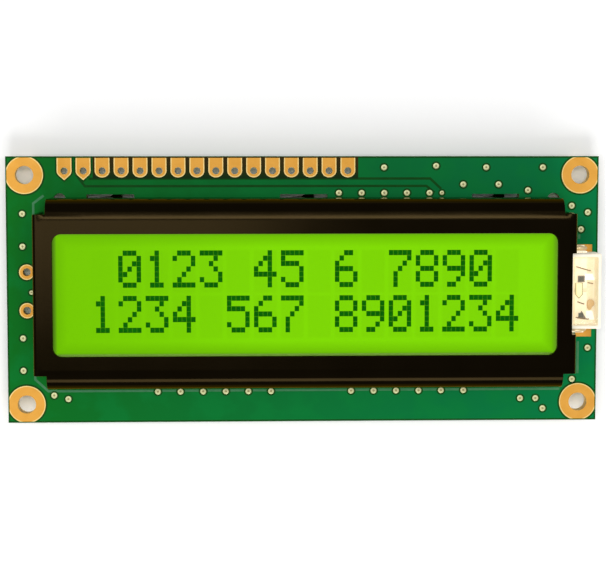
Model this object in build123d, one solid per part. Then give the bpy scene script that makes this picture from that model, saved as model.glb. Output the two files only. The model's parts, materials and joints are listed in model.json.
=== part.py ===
"""Character LCD module with an edge-lit backlight, on a board with standard mounting holes.

Millimetres. The origin is the centre of the mounting-hole rectangle on the board's front face.
+X runs along the display to the right, +Y points to the header row, +Z out of the display.
"""
import os
from math import cos, pi, sin, sqrt

from build123d import *

# Circuit board
BOARD_LENGTH = 80.0
BOARD_HEIGHT = 36.0
BOARD_THICKNESS = 1.6

# Plated copper pads on the board's faces
PAD_THICKNESS = 0.06
PAD_EDGE_MARGIN = 0.05

# Mounting holes, measured from the board's edges
MOUNT_INSET = 2.5
MOUNT_HOLE_RADIUS = 1.25
MOUNT_PAD_RADIUS = 2.6

# Header row, from the left and top edges
HEADER_COUNT = 16
HEADER_PITCH = 2.54
HEADER_FIRST_INSET = 7.85
HEADER_ROW_INSET = 1.95
HEADER_HOLE_RADIUS = 0.5
HEADER_PAD_WIDTH = 2.0
HEADER_PAD_SIDES = 12
POINTED_PINS = (0, 1)

# Backlight connector rings beside the bezel's left wall
TERMINAL_GAP = 0.65
TERMINAL_PITCH = 5.2
TERMINAL_CENTRE_Y = -0.15
TERMINAL_HOLE_RADIUS = 0.55
TERMINAL_RING_RADIUS = 1.05

# Folded bezel, set in from the board's edges, and its window
BEZEL_END_MARGIN = 4.4
BEZEL_SIDE_MARGIN = 5.5
SHEET = 0.5
BEND_RADIUS = 1.7
WINDOW_END_MARGIN = 2.6
WINDOW_SIDE_MARGIN = 4.5
WINDOW_CORNER_RADIUS = 1.2

# Twist tabs and the slots that they go through
TAB_COUNT = 3
TAB_END_INSET = 7.9
TAB_WIDTH = 3.0
TAB_TWIST_ANGLE = 40.0
TAB_HEAD_LENGTH = 1.7
TAB_GRIP_GAP = 0.1
SLOT_LENGTH = 6.4
SLOT_WIDTH = 1.3

# Locating holes beside the bezel's top wall
LOCATING_HOLE_RADIUS = 0.85
LOCATING_HOLE_SINK = 0.3
LOCATING_LEFT_INSET = 2.8
LOCATING_RIGHT_INSET = 1.7

# Layers from the board up to the bezel
REFLECTOR_THICKNESS = 0.2
GUIDE_THICKNESS = 5.3
DIFFUSER_THICKNESS = 0.2
POLARISER_THICKNESS = 0.2
GLASS_THICKNESS = 1.1
CELL_GAP = 0.1

# Places of the layers in the bezel
GLASS_SIDE_GAP = 0.1
GLASS_END_GAP = 0.9
POLARISER_MARGIN = 0.4
SEAL_WIDTH = 1.0
PLUG_LENGTH = 3.0
PLUG_DEPTH = 0.4
ZEBRA_END_INSET = 3.7
ZEBRA_WIDTH = 1.6
ZEBRA_INSET = 0.1
ZEBRA_GAP = 0.1
FRAME_WALL = 0.5
GUIDE_CLEARANCE = 0.05
GUIDE_END_GAP = 1.1

# Backlight lamp at the right end
LAMP_LENGTH = 10.1
LAMP_HEIGHT = 4.5
LAMP_EDGE_INSET = 0.3
LAMP_GUIDE_GAP = 0.1
LAMP_OPENING_GAP = 0.3
LAMP_END_WALL = 0.8
LAMP_SIDE_WALL = 0.9
LAMP_CAVITY_WIDTH = 2.9
LAMP_FLOOR = 2.0
RESIN_RECESS = 0.1
LEAD_THICKNESS = 0.2
LEAD_WIDTH = 1.6
LEAD_SPLIT = 0.6
LEAD_FOOT = 0.7
DIE_SIZE = 0.6
DIE_HEIGHT = 0.3
UPPER_DIE_INSET = 2.75
LOWER_DIE_INSET = 0.85
LAMP_PAD_LENGTH = 2.2
LAMP_PAD_WIDTH = 1.9
LAMP_PAD_INSET = 1.85
LAMP_PAD_TUCK = 0.9

# Epoxy domes and small chips on the back
DOME_RADIUS = 6.5
DOME_HEIGHT = 1.3
DOME_SIDES = 24
DOME_TIERS = 3
DOME_TOP_ANGLE = 75.0
CONTROLLER_X = -12.0
DRIVER_X = 14.0
DOME_Y = -1.0
CHIP_LENGTH = 2.0
CHIP_WIDTH = 1.25
CHIP_HEIGHT = 0.55
CHIP_CAP_LENGTH = 0.4
CHIP_PAD_LENGTH = 0.9
CHIP_PAD_WIDTH = 1.3
RESISTOR_COUNT = 5
RESISTOR_PITCH = 2.6
RESISTOR_INSET = 9.5
RESISTOR_Y = 4.5
CAPACITOR_COUNT = 3
CAPACITOR_PITCH = 3.4
CAPACITOR_GAP = 6.0
CAPACITOR_Y = 2.5
CAPACITOR_HEIGHT = 0.9

# Levels that follow from the layers
BOARD_BACK = -BOARD_THICKNESS
GUIDE_LEVEL = REFLECTOR_THICKNESS
DIFFUSER_LEVEL = GUIDE_LEVEL + GUIDE_THICKNESS
REAR_POLARISER_LEVEL = DIFFUSER_LEVEL + DIFFUSER_THICKNESS
REAR_GLASS_LEVEL = REAR_POLARISER_LEVEL + POLARISER_THICKNESS
CELL_LEVEL = REAR_GLASS_LEVEL + GLASS_THICKNESS
FRONT_GLASS_LEVEL = CELL_LEVEL + CELL_GAP
FRONT_POLARISER_LEVEL = FRONT_GLASS_LEVEL + GLASS_THICKNESS
BEZEL_INSIDE = FRONT_POLARISER_LEVEL + POLARISER_THICKNESS
BEZEL_TOP = BEZEL_INSIDE + SHEET

# Places that follow from the board and the bezel
BEZEL_LENGTH = BOARD_LENGTH - 2 * BEZEL_END_MARGIN
BEZEL_HEIGHT = BOARD_HEIGHT - 2 * BEZEL_SIDE_MARGIN
WINDOW_LENGTH = BEZEL_LENGTH - 2 * WINDOW_END_MARGIN
WINDOW_HEIGHT = BEZEL_HEIGHT - 2 * WINDOW_SIDE_MARGIN
FACE_LENGTH = BEZEL_LENGTH - 2 * BEND_RADIUS
FACE_HEIGHT = BEZEL_HEIGHT - 2 * BEND_RADIUS
INSIDE_END = BEZEL_LENGTH / 2 - SHEET
WALL_MIDDLE = BEZEL_HEIGHT / 2 - SHEET / 2
GLASS_LENGTH = 2 * (INSIDE_END - GLASS_END_GAP)
GLASS_HEIGHT = FACE_HEIGHT - 2 * GLASS_SIDE_GAP
ZEBRA_LENGTH = GLASS_LENGTH - 2 * ZEBRA_END_INSET
ZEBRA_OUTSIDE = GLASS_HEIGHT / 2 - ZEBRA_INSET
ZEBRA_INSIDE = ZEBRA_OUTSIDE - ZEBRA_WIDTH
REAR_GLASS_HEIGHT = 2 * (ZEBRA_INSIDE - ZEBRA_GAP)
FRAME_HEIGHT = 2 * (ZEBRA_INSIDE - ZEBRA_GAP)
GUIDE_HEIGHT = FRAME_HEIGHT - 2 * (FRAME_WALL + GUIDE_CLEARANCE)
GUIDE_END = INSIDE_END - GUIDE_END_GAP
LAMP_START = GUIDE_END + LAMP_GUIDE_GAP
LAMP_END = BOARD_LENGTH / 2 - LAMP_EDGE_INSET
CAVITY_MIDDLE = LAMP_END - LAMP_SIDE_WALL - LAMP_CAVITY_WIDTH / 2
CAVITY_LENGTH = LAMP_LENGTH - 2 * LAMP_END_WALL


def slab(length, height, bottom, thickness, x=0.0, y=0.0):
    """A flat rectangular layer that stands on the level given as its bottom."""
    return Pos(x, y, bottom + thickness / 2) * Box(length, height, thickness)


def post(radius, bottom, top, x=0.0, y=0.0):
    """An upright cylinder between two levels."""
    return Pos(x, y, (bottom + top) / 2) * Cylinder(radius, top - bottom)


def header_places():
    """Centres of the header holes, from pin one."""
    first = -BOARD_LENGTH / 2 + HEADER_FIRST_INSET
    row = BOARD_HEIGHT / 2 - HEADER_ROW_INSET
    return [(first + pin * HEADER_PITCH, row) for pin in range(HEADER_COUNT)]


def mount_places():
    """Centres of the four mounting holes."""
    x = BOARD_LENGTH / 2 - MOUNT_INSET
    y = BOARD_HEIGHT / 2 - MOUNT_INSET
    return [(-x, -y), (x, -y), (x, y), (-x, y)]


def terminal_places():
    """Centres of the backlight connector's two holes."""
    x = -BEZEL_LENGTH / 2 - TERMINAL_GAP - TERMINAL_RING_RADIUS
    return [(x, TERMINAL_CENTRE_Y + side * TERMINAL_PITCH / 2) for side in (-1, 1)]


def tab_places():
    """Centres of the bezel's tabs along both long walls."""
    first = -FACE_LENGTH / 2 + TAB_END_INSET
    pitch = -2 * first / (TAB_COUNT - 1)
    return [(first + tab * pitch, side) for side in (-1, 1) for tab in range(TAB_COUNT)]


def locating_places():
    """Centres of the two holes beside the bezel's top wall."""
    y = BEZEL_HEIGHT / 2 - LOCATING_HOLE_SINK
    left = -BEZEL_LENGTH / 2 + LOCATING_LEFT_INSET
    right = BEZEL_LENGTH / 2 - LOCATING_RIGHT_INSET
    return [(left, y), (right, y)]


def circuit_board():
    """The board with its drilled holes and milled slots."""
    drilled = (
        (header_places(), HEADER_HOLE_RADIUS),
        (mount_places(), MOUNT_HOLE_RADIUS),
        (terminal_places(), TERMINAL_HOLE_RADIUS),
        (locating_places(), LOCATING_HOLE_RADIUS),
    )
    cuts = [post(radius, BOARD_BACK, 0, x, y) for places, radius in drilled for x, y in places]
    for x, side in tab_places():
        cuts.append(slab(SLOT_LENGTH, SLOT_WIDTH, BOARD_BACK, BOARD_THICKNESS, x, side * WALL_MIDDLE))
    return slab(BOARD_LENGTH, BOARD_HEIGHT, BOARD_BACK, BOARD_THICKNESS) - cuts


def front_and_back(outline):
    """The same pad on the board's front and on its back."""
    back = BOARD_BACK - PAD_THICKNESS
    return [Pos(0, 0, level) * extrude(outline, PAD_THICKNESS) for level in (0, back)]


def mounting_pads():
    """Round pads at the four mounting holes, cut off where they would pass the board's edges."""
    board = Rectangle(BOARD_LENGTH - 2 * PAD_EDGE_MARGIN, BOARD_HEIGHT - 2 * PAD_EDGE_MARGIN)
    pads = []
    for x, y in mount_places():
        ring = Pos(x, y) * (Circle(MOUNT_PAD_RADIUS) - Circle(MOUNT_HOLE_RADIUS))
        pads += front_and_back(ring & board)
    return Compound(children=pads)


def round_outline(radius):
    """A many-sided outline that clears the circle of the radius given, with a side facing each way."""
    return RegularPolygon(radius, HEADER_PAD_SIDES, major_radius=False, rotation=180 / HEADER_PAD_SIDES)


def header_pads():
    """The header's pads: straight from the board's edge and round below the hole.

    They repeat, so their round ends have few sides. The first two run to a point below,
    where a wide conductor joins them.
    """
    radius = HEADER_PAD_WIDTH / 2
    length = HEADER_ROW_INSET - PAD_EDGE_MARGIN
    plain = round_outline(radius) + Pos(0, length / 2) * Rectangle(HEADER_PAD_WIDTH, length)
    tangent = radius / sqrt(2)
    pointed = plain + Polygon((-tangent, -tangent), (0, -2 * tangent), (tangent, -tangent), align=None)
    pads = []
    for pin, (x, y) in enumerate(header_places()):
        outline = pointed if pin in POINTED_PINS else plain
        pads.append(Pos(x, y, 0) * extrude(outline - round_outline(HEADER_HOLE_RADIUS), PAD_THICKNESS))
    return Compound(children=pads)


def terminal_rings():
    """Round pads at the two holes for the backlight's own connector."""
    pads = []
    for x, y in terminal_places():
        pads += front_and_back(Pos(x, y) * (Circle(TERMINAL_RING_RADIUS) - Circle(TERMINAL_HOLE_RADIUS)))
    return Compound(children=pads)


def flap(run):
    """One folded wall of the bezel: a bend and a straight leg, seen along +X."""
    outer = BEND_RADIUS
    inner = BEND_RADIUS - SHEET
    corner = BEZEL_TOP - BEND_RADIUS
    with BuildSketch(Plane.YZ) as section:
        with BuildLine():
            top = CenterArc((0, corner), outer, 0, 90)
            below = CenterArc((0, corner), inner, 0, 90)
            Line(top @ 1, below @ 1)
            Polyline(top @ 0, (outer, 0), (inner, 0), below @ 0)
        make_face()
    return extrude(section.sketch, run / 2, both=True)


def twist_tab():
    """A tab that goes straight through the board, with its head twisted behind it."""
    neck_end = BOARD_BACK - TAB_GRIP_GAP
    neck = slab(TAB_WIDTH, SHEET, neck_end, -neck_end)
    head = slab(TAB_WIDTH, SHEET, neck_end - TAB_HEAD_LENGTH, TAB_HEAD_LENGTH)
    return neck + Rot(0, 0, TAB_TWIST_ANGLE) * head


def bezel():
    """One steel sheet: a face with a window, four folded walls, open corners and twist tabs."""
    frame = slab(FACE_LENGTH, FACE_HEIGHT, BEZEL_INSIDE, SHEET)
    for turn, run, reach in ((0, FACE_LENGTH, FACE_HEIGHT), (90, FACE_HEIGHT, FACE_LENGTH)):
        for side in (0, 180):
            frame += Rot(0, 0, turn + side) * Pos(0, reach / 2, 0) * flap(run)
    window = RectangleRounded(WINDOW_LENGTH, WINDOW_HEIGHT, WINDOW_CORNER_RADIUS)
    frame -= Pos(0, 0, BEZEL_INSIDE) * extrude(window, SHEET)
    opening_length = LAMP_LENGTH + 2 * LAMP_OPENING_GAP
    opening_height = LAMP_HEIGHT + LAMP_OPENING_GAP
    frame -= slab(BEND_RADIUS, opening_length, 0, opening_height, x=BEZEL_LENGTH / 2 - BEND_RADIUS / 2)
    for x, side in tab_places():
        frame += Pos(x, side * WALL_MIDDLE, 0) * twist_tab()
    return frame


def front_glass():
    """The pane that carries the contact ledges, wider than the rear pane."""
    return slab(GLASS_LENGTH, GLASS_HEIGHT, FRONT_GLASS_LEVEL, GLASS_THICKNESS)


def rear_glass():
    """The pane between the two rubber connectors."""
    return slab(GLASS_LENGTH, REAR_GLASS_HEIGHT, REAR_GLASS_LEVEL, GLASS_THICKNESS)


def cell_seal():
    """The epoxy line that keeps the panes apart, open at the filling port."""
    line = slab(GLASS_LENGTH, REAR_GLASS_HEIGHT, CELL_LEVEL, CELL_GAP)
    inner = slab(GLASS_LENGTH - 2 * SEAL_WIDTH, REAR_GLASS_HEIGHT - 2 * SEAL_WIDTH, CELL_LEVEL, CELL_GAP)
    port = slab(SEAL_WIDTH, PLUG_LENGTH, CELL_LEVEL, CELL_GAP, x=-(GLASS_LENGTH - SEAL_WIDTH) / 2)
    return line - inner - port


def liquid_crystal():
    """The thin layer that fills the space inside the seal and its port."""
    inner = slab(GLASS_LENGTH - 2 * SEAL_WIDTH, REAR_GLASS_HEIGHT - 2 * SEAL_WIDTH, CELL_LEVEL, CELL_GAP)
    port = slab(SEAL_WIDTH, PLUG_LENGTH, CELL_LEVEL, CELL_GAP, x=-(GLASS_LENGTH - SEAL_WIDTH) / 2)
    return inner + port


def fill_port_plug():
    """A dab of cured resin that closes the filling port at the cell's left end."""
    height = GLASS_THICKNESS + CELL_GAP
    start = CELL_LEVEL - GLASS_THICKNESS / 2
    return slab(PLUG_DEPTH, PLUG_LENGTH, start, height, x=-(GLASS_LENGTH + PLUG_DEPTH) / 2)


def polariser(pane_height, level):
    """A film cut a little smaller than the pane that it is stuck to."""
    length = GLASS_LENGTH - 2 * POLARISER_MARGIN
    height = pane_height - 2 * POLARISER_MARGIN
    return slab(length, height, level, POLARISER_THICKNESS)


def backlight_layer(level, thickness):
    """A sheet of the backlight with the light guide's outline."""
    return slab(2 * GUIDE_END, GUIDE_HEIGHT, level, thickness)


def backlight_frame():
    """A white moulded frame round the guide on three sides, open to the lamp on the right."""
    left = -GUIDE_END - GUIDE_CLEARANCE - FRAME_WALL
    length = GUIDE_END - left
    height = DIFFUSER_LEVEL + DIFFUSER_THICKNESS
    shell = slab(length, FRAME_HEIGHT, 0, height, x=left + length / 2)
    room_length = length - FRAME_WALL
    room_height = FRAME_HEIGHT - 2 * FRAME_WALL
    return shell - slab(room_length, room_height, 0, height, x=GUIDE_END - room_length / 2)


def zebra_strip(side):
    """A rubber connector that stands on the board and carries a ledge of the front glass."""
    y = side * (ZEBRA_INSIDE + ZEBRA_OUTSIDE) / 2
    return slab(ZEBRA_LENGTH, ZEBRA_WIDTH, 0, FRONT_GLASS_LEVEL, y=y)


def lamp_lead(side):
    """One lead: flat on the cavity's floor, out through the end wall, down to a foot on its pad."""
    low = PAD_THICKNESS
    floor = LAMP_FLOOR
    end = LAMP_LENGTH / 2
    with BuildSketch(Plane.YZ) as section:
        with BuildLine():
            Polyline(
                (LEAD_SPLIT / 2, floor),
                (end, floor),
                (end, low),
                (end + LEAD_THICKNESS + LEAD_FOOT, low),
                (end + LEAD_THICKNESS + LEAD_FOOT, low + LEAD_THICKNESS),
                (end + LEAD_THICKNESS, low + LEAD_THICKNESS),
                (end + LEAD_THICKNESS, floor + LEAD_THICKNESS),
                (LEAD_SPLIT / 2, floor + LEAD_THICKNESS),
                close=True,
            )
        make_face()
    lead = Pos(CAVITY_MIDDLE, 0, 0) * extrude(section.sketch, LEAD_WIDTH / 2, both=True)
    return lead if side > 0 else mirror(lead, Plane.XZ)


def lamp_leads():
    """The two leads, end to end along the lamp."""
    return Compound(children=[lamp_lead(side) for side in (-1, 1)])


def lamp_dice():
    """Two light-emitting dice, one on each lead, set in from the cavity's ends."""
    end = CAVITY_LENGTH / 2
    level = LAMP_FLOOR + LEAD_THICKNESS
    places = (end - UPPER_DIE_INSET, LOWER_DIE_INSET - end)
    return Compound(children=[slab(DIE_SIZE, DIE_SIZE, level, DIE_HEIGHT, CAVITY_MIDDLE, y) for y in places])


def lamp_housing():
    """A white moulded block with a cavity in its top and a slit for each lead."""
    depth = LAMP_END - LAMP_START
    body = slab(depth, LAMP_LENGTH, 0, LAMP_HEIGHT, x=(LAMP_START + LAMP_END) / 2)
    body -= lamp_cavity(LAMP_HEIGHT)
    foot_room = LAMP_PAD_TUCK + PAD_EDGE_MARGIN
    for side in (-1, 1):
        y = side * (LAMP_LENGTH - foot_room) / 2
        body -= slab(LAMP_PAD_LENGTH + 2 * PAD_EDGE_MARGIN, foot_room, 0, PAD_THICKNESS, lamp_pad_x(), y)
    return body - [lamp_lead(side) for side in (-1, 1)]


def lamp_cavity(top):
    """The room in the housing from its floor to the level given."""
    return slab(LAMP_CAVITY_WIDTH, CAVITY_LENGTH, LAMP_FLOOR, top - LAMP_FLOOR, x=CAVITY_MIDDLE)


def lamp_resin():
    """Clear epoxy, cast into the cavity over the leads and the dice."""
    cast = lamp_cavity(LAMP_HEIGHT - RESIN_RECESS)
    return cast - [lamp_lead(side) for side in (-1, 1)] - lamp_dice()


def lamp_pad_x():
    """The middle of the lamp's pads, from the board's right edge."""
    return BOARD_LENGTH / 2 - LAMP_PAD_INSET


def lamp_pads():
    """Two gold pads, each half tucked under an end of the lamp."""
    pads = []
    for side in (-1, 1):
        y = side * (LAMP_LENGTH / 2 - LAMP_PAD_TUCK + LAMP_PAD_WIDTH / 2)
        pads.append(slab(LAMP_PAD_LENGTH, LAMP_PAD_WIDTH, 0, PAD_THICKNESS, lamp_pad_x(), y))
    return Compound(children=pads)


def glob_top(x):
    """A low epoxy dome over a chip on the back, in flat-sided tiers that round over to its top."""
    corners = []
    top_angle = DOME_TOP_ANGLE * pi / 180
    for tier in range(DOME_TIERS + 1):
        angle = tier / DOME_TIERS * top_angle
        level = BOARD_BACK - DOME_HEIGHT * sin(angle) / sin(top_angle)
        outline = Pos(x, DOME_Y, level) * RegularPolygon(DOME_RADIUS * cos(angle), DOME_SIDES)
        corners += [tuple(corner) for corner in outline.vertices()]
    return ConvexPolyhedron(corners)


def chip_column(x, y, count, pitch):
    """Centres of a column of chips that starts at the place given and runs towards -Y."""
    return [(x, y - n * pitch) for n in range(count)]


RESISTOR_X = -BOARD_LENGTH / 2 + RESISTOR_INSET
RESISTOR_PLACES = chip_column(RESISTOR_X, RESISTOR_Y, RESISTOR_COUNT, RESISTOR_PITCH)
CAPACITOR_X = DRIVER_X + DOME_RADIUS + CAPACITOR_GAP
CAPACITOR_PLACES = chip_column(CAPACITOR_X, CAPACITOR_Y, CAPACITOR_COUNT, CAPACITOR_PITCH)


def chip_bodies(places, height):
    """Ceramic bodies between their end caps, on the back of the board."""
    top = BOARD_BACK - PAD_THICKNESS
    length = CHIP_LENGTH - 2 * CHIP_CAP_LENGTH
    return Compound(children=[slab(length, CHIP_WIDTH, top - height, height, x, y) for x, y in places])


def chip_caps(places, height):
    """Tinned end caps, two for each chip, on their pads."""
    top = BOARD_BACK - PAD_THICKNESS
    shift = (CHIP_LENGTH - CHIP_CAP_LENGTH) / 2
    caps = []
    for x, y in places:
        for side in (-1, 1):
            caps.append(slab(CHIP_CAP_LENGTH, CHIP_WIDTH, top - height, height, x + side * shift, y))
    return Compound(children=caps)


def chip_pads():
    """The copper pads that the chips are soldered to."""
    shift = (CHIP_LENGTH + CHIP_PAD_LENGTH) / 2 - CHIP_CAP_LENGTH
    level = BOARD_BACK - PAD_THICKNESS
    pads = []
    for x, y in RESISTOR_PLACES + CAPACITOR_PLACES:
        for side in (-1, 1):
            pads.append(slab(CHIP_PAD_LENGTH, CHIP_PAD_WIDTH, level, PAD_THICKNESS, x + side * shift, y))
    return Compound(children=pads)


NODES = {
    "circuit_board": circuit_board(),
    "mounting_pads": mounting_pads(),
    "header_pads": header_pads(),
    "terminal_rings": terminal_rings(),
    "lamp_pads": lamp_pads(),
    "reflector_film": backlight_layer(0, REFLECTOR_THICKNESS),
    "light_guide": backlight_layer(GUIDE_LEVEL, GUIDE_THICKNESS),
    "diffuser_film": backlight_layer(DIFFUSER_LEVEL, DIFFUSER_THICKNESS),
    "backlight_frame": backlight_frame(),
    "lamp_housing": lamp_housing(),
    "lamp_leads": lamp_leads(),
    "lamp_dice": lamp_dice(),
    "lamp_resin": lamp_resin(),
    "zebra_strip_top": zebra_strip(1),
    "zebra_strip_bottom": zebra_strip(-1),
    "rear_polariser": polariser(REAR_GLASS_HEIGHT, REAR_POLARISER_LEVEL),
    "rear_glass": rear_glass(),
    "cell_seal": cell_seal(),
    "liquid_crystal": liquid_crystal(),
    "fill_port_plug": fill_port_plug(),
    "front_glass": front_glass(),
    "front_polariser": polariser(GLASS_HEIGHT, FRONT_POLARISER_LEVEL),
    "bezel": bezel(),
    "controller_glob_top": glob_top(CONTROLLER_X),
    "driver_glob_top": glob_top(DRIVER_X),
    "chip_pads": chip_pads(),
    "chip_resistors": chip_bodies(RESISTOR_PLACES, CHIP_HEIGHT),
    "chip_resistor_caps": chip_caps(RESISTOR_PLACES, CHIP_HEIGHT),
    "chip_capacitors": chip_bodies(CAPACITOR_PLACES, CAPACITOR_HEIGHT),
    "chip_capacitor_caps": chip_caps(CAPACITOR_PLACES, CAPACITOR_HEIGHT),
}

os.makedirs("parts", exist_ok=True)
for node, shape in NODES.items():
    export_step(shape, f"parts/{node}.step")
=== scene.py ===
"""Looks of the character LCD module: the finishes of its solids and the fine pieces that they leave out."""
import json
import math

import bmesh
import bpy
from mathutils import Matrix, Vector


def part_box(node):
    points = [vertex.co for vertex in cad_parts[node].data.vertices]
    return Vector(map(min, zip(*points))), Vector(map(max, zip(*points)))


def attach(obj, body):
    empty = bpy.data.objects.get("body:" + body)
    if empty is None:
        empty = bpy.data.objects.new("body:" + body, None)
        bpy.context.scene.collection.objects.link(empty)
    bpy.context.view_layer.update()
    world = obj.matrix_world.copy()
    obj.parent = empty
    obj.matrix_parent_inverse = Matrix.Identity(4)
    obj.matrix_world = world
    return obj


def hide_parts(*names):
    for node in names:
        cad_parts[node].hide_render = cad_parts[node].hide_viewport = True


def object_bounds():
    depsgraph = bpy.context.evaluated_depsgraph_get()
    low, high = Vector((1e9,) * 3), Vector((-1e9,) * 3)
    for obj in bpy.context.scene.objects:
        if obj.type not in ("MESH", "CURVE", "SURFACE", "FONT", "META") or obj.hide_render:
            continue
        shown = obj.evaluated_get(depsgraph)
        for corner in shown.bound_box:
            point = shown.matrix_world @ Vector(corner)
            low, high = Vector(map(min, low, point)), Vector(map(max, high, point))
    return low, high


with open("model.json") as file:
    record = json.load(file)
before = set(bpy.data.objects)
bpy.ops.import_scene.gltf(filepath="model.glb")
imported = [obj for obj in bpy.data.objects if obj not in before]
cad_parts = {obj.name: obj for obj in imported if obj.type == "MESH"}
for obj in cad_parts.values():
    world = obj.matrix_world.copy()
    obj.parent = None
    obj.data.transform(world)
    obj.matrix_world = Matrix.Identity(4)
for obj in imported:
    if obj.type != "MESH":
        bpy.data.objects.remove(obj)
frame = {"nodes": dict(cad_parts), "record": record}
cad_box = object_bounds()


# Circuit board: glass-epoxy laminate sawn from a larger panel, drilled, and coated on both faces with
# green solder mask. Copper under the mask shows as broad, barely paler fields. The sawn edges and the
# hole walls keep the bare straw-green of the laminate, with its glass plies as fine lines.
MM = 0.001
PLY = 0.2
MASK_MOTTLE = 5.0
MASK_GRAIN = 0.35


def linear(hex_colour):
    """An sRGB hex colour as the linear colour that shader sockets take."""
    channels = [int(hex_colour[i:i + 2], 16) / 255 for i in (1, 3, 5)]
    return (*(c / 12.92 if c <= 0.04045 else ((c + 0.055) / 1.055) ** 2.4 for c in channels), 1.0)


def per(size):
    """Texture scale that repeats once in a size given in millimetres."""
    return 1 / (size * MM)


def new_material(name):
    """An empty material and its node tree."""
    material = bpy.data.materials.new(name)
    material.use_nodes = True
    material.node_tree.nodes.clear()
    return material, material.node_tree


def add(tree, kind, inputs=None, **settings):
    """Adds one shader node. Each input is a value, a node whose first output feeds it, or one output."""
    node = tree.nodes.new("ShaderNode" + kind)
    for name, value in settings.items():
        setattr(node, name, value)
    for name, value in (inputs or {}).items():
        if isinstance(value, bpy.types.Node):
            value = value.outputs[0]
        if isinstance(value, bpy.types.NodeSocket):
            tree.links.new(value, node.inputs[name])
        else:
            node.inputs[name].default_value = value
    return node


def dress(name, material):
    """Gives a solid of the frame its finish."""
    slots = frame["nodes"][name].data.materials
    slots.clear()
    slots.append(material)


def box(name):
    """Lowest and highest corner of a solid of the frame, in millimetres."""
    low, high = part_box(name)
    return Vector(low) / MM, Vector(high) / MM


board_low, board_high = box("circuit_board")
FRONT, BACK = board_high.z, board_low.z

solder_mask, tree = new_material("green solder mask on glass-epoxy laminate")
place = add(tree, "TexCoord").outputs["Object"]
axes = add(tree, "SeparateXYZ", {"Vector": place})
# Painted light: the mask runs from a yellower green at the left to a bluer green at the right, as light fell
# across the board.
along = add(tree, "MapRange", {"Value": axes.outputs["X"], "From Min": board_low.x * MM,
                               "From Max": board_high.x * MM})
painted_light_tint = add(tree, "MixRGB", {"Fac": along, "Color1": linear("#0a6a1c"), "Color2": linear("#027440")})
mottle = add(tree, "TexNoise", {"Vector": place, "Scale": per(MASK_MOTTLE), "Detail": 4.0})
copper_under = add(tree, "MapRange", {"Value": mottle, "From Min": 0.45, "From Max": 0.6, "To Max": 0.45})
mask = add(tree, "MixRGB", {"Fac": copper_under, "Color1": painted_light_tint, "Color2": linear("#067a34")})
plies = add(tree, "TexWave", {"Vector": place, "Scale": per(PLY) / 20, "Distortion": 1.5},
            wave_type="BANDS", bands_direction="Z")
laminate = add(tree, "MixRGB", {"Fac": plies.outputs["Fac"], "Color1": linear("#7d8148"),
                                "Color2": linear("#99995e")})
normal = add(tree, "SeparateXYZ", {"Vector": add(tree, "NewGeometry").outputs["Normal"]})
upright = add(tree, "Math", {0: normal.outputs["Z"]}, operation="ABSOLUTE")
coated = add(tree, "Math", {0: upright, 1: 0.5}, operation="GREATER_THAN")
colour = add(tree, "MixRGB", {"Fac": coated, "Color1": laminate, "Color2": mask})
grain = add(tree, "TexNoise", {"Vector": place, "Scale": per(MASK_GRAIN), "Detail": 2.0})
gloss = add(tree, "MapRange", {"Value": grain, "To Min": 0.38, "To Max": 0.52})
relief = add(tree, "Bump", {"Height": grain, "Strength": 0.08, "Distance": 0.02 * MM})
surface = add(tree, "BsdfPrincipled", {"Base Color": colour, "IOR": 1.5,
                                       "Roughness": gloss, "Specular IOR Level": 0.03,
                                       "Normal": relief})
add(tree, "OutputMaterial", {"Surface": surface})
dress("circuit_board", solder_mask)


# Etched gaps: where copper was etched away the mask lies straight on the laminate and looks darker. A gap
# runs on each side of the signal line under the header, and along the board's sawn edge.
GAP_RISE = 0.012
GAP_WIDTH = 0.32
EDGE_GAP, EDGE_GAP_INSET = 0.2, 0.13
mounts = {mount["name"]: mount for mount in frame["record"]["mounts"]}
header_first, header_last = (Vector(mounts[name]["pos_m"]) / MM
                             for name in ("header_first_hole", "header_last_hole"))
HEADER_COUNT = 16
PITCH = (header_last.x - header_first.x) / (HEADER_COUNT - 1)


def ribbon(bm, points, width, level, rise):
    """Lays a thin flat strip along a bent line on the board, mitred where it turns."""
    points = [Vector(point) for point in points]
    made = []
    for i, point in enumerate(points):
        into = (point - points[i - 1]).normalized() if i else None
        out = (points[i + 1] - point).normalized() if i + 1 < len(points) else into
        into = into or out
        middle = (into + out).normalized()
        side = Vector((-middle.y, middle.x)) * (width / 2 / middle.dot(out))
        ends = [Vector((*(point + side), level)), Vector((*(point - side), level))]
        if i == 0:
            edge = bm.edges.new([bm.verts.new(end) for end in ends])
        else:
            grown = bmesh.ops.extrude_edge_only(bm, edges=[edge])["geom"]
            new_verts = [v for v in grown if isinstance(v, bmesh.types.BMVert)]
            made += [f for f in grown if isinstance(f, bmesh.types.BMFace)]
            for old, end in zip(edge.verts, ends):
                partner = next(e.other_vert(old) for e in old.link_edges if e.other_vert(old) in new_verts)
                partner.co = end
            edge = bm.edges.get([next(e.other_vert(old) for e in old.link_edges
                                      if e.other_vert(old) in new_verts) for old in edge.verts])
    thicken(bm, made, rise)


def thicken(bm, faces, rise):
    """Raises flat faces into thin plates."""
    raised = bmesh.ops.extrude_face_region(bm, geom=faces)["geom"]
    bmesh.ops.translate(bm, vec=(0, 0, rise), verts=[v for v in raised if isinstance(v, bmesh.types.BMVert)])


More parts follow.
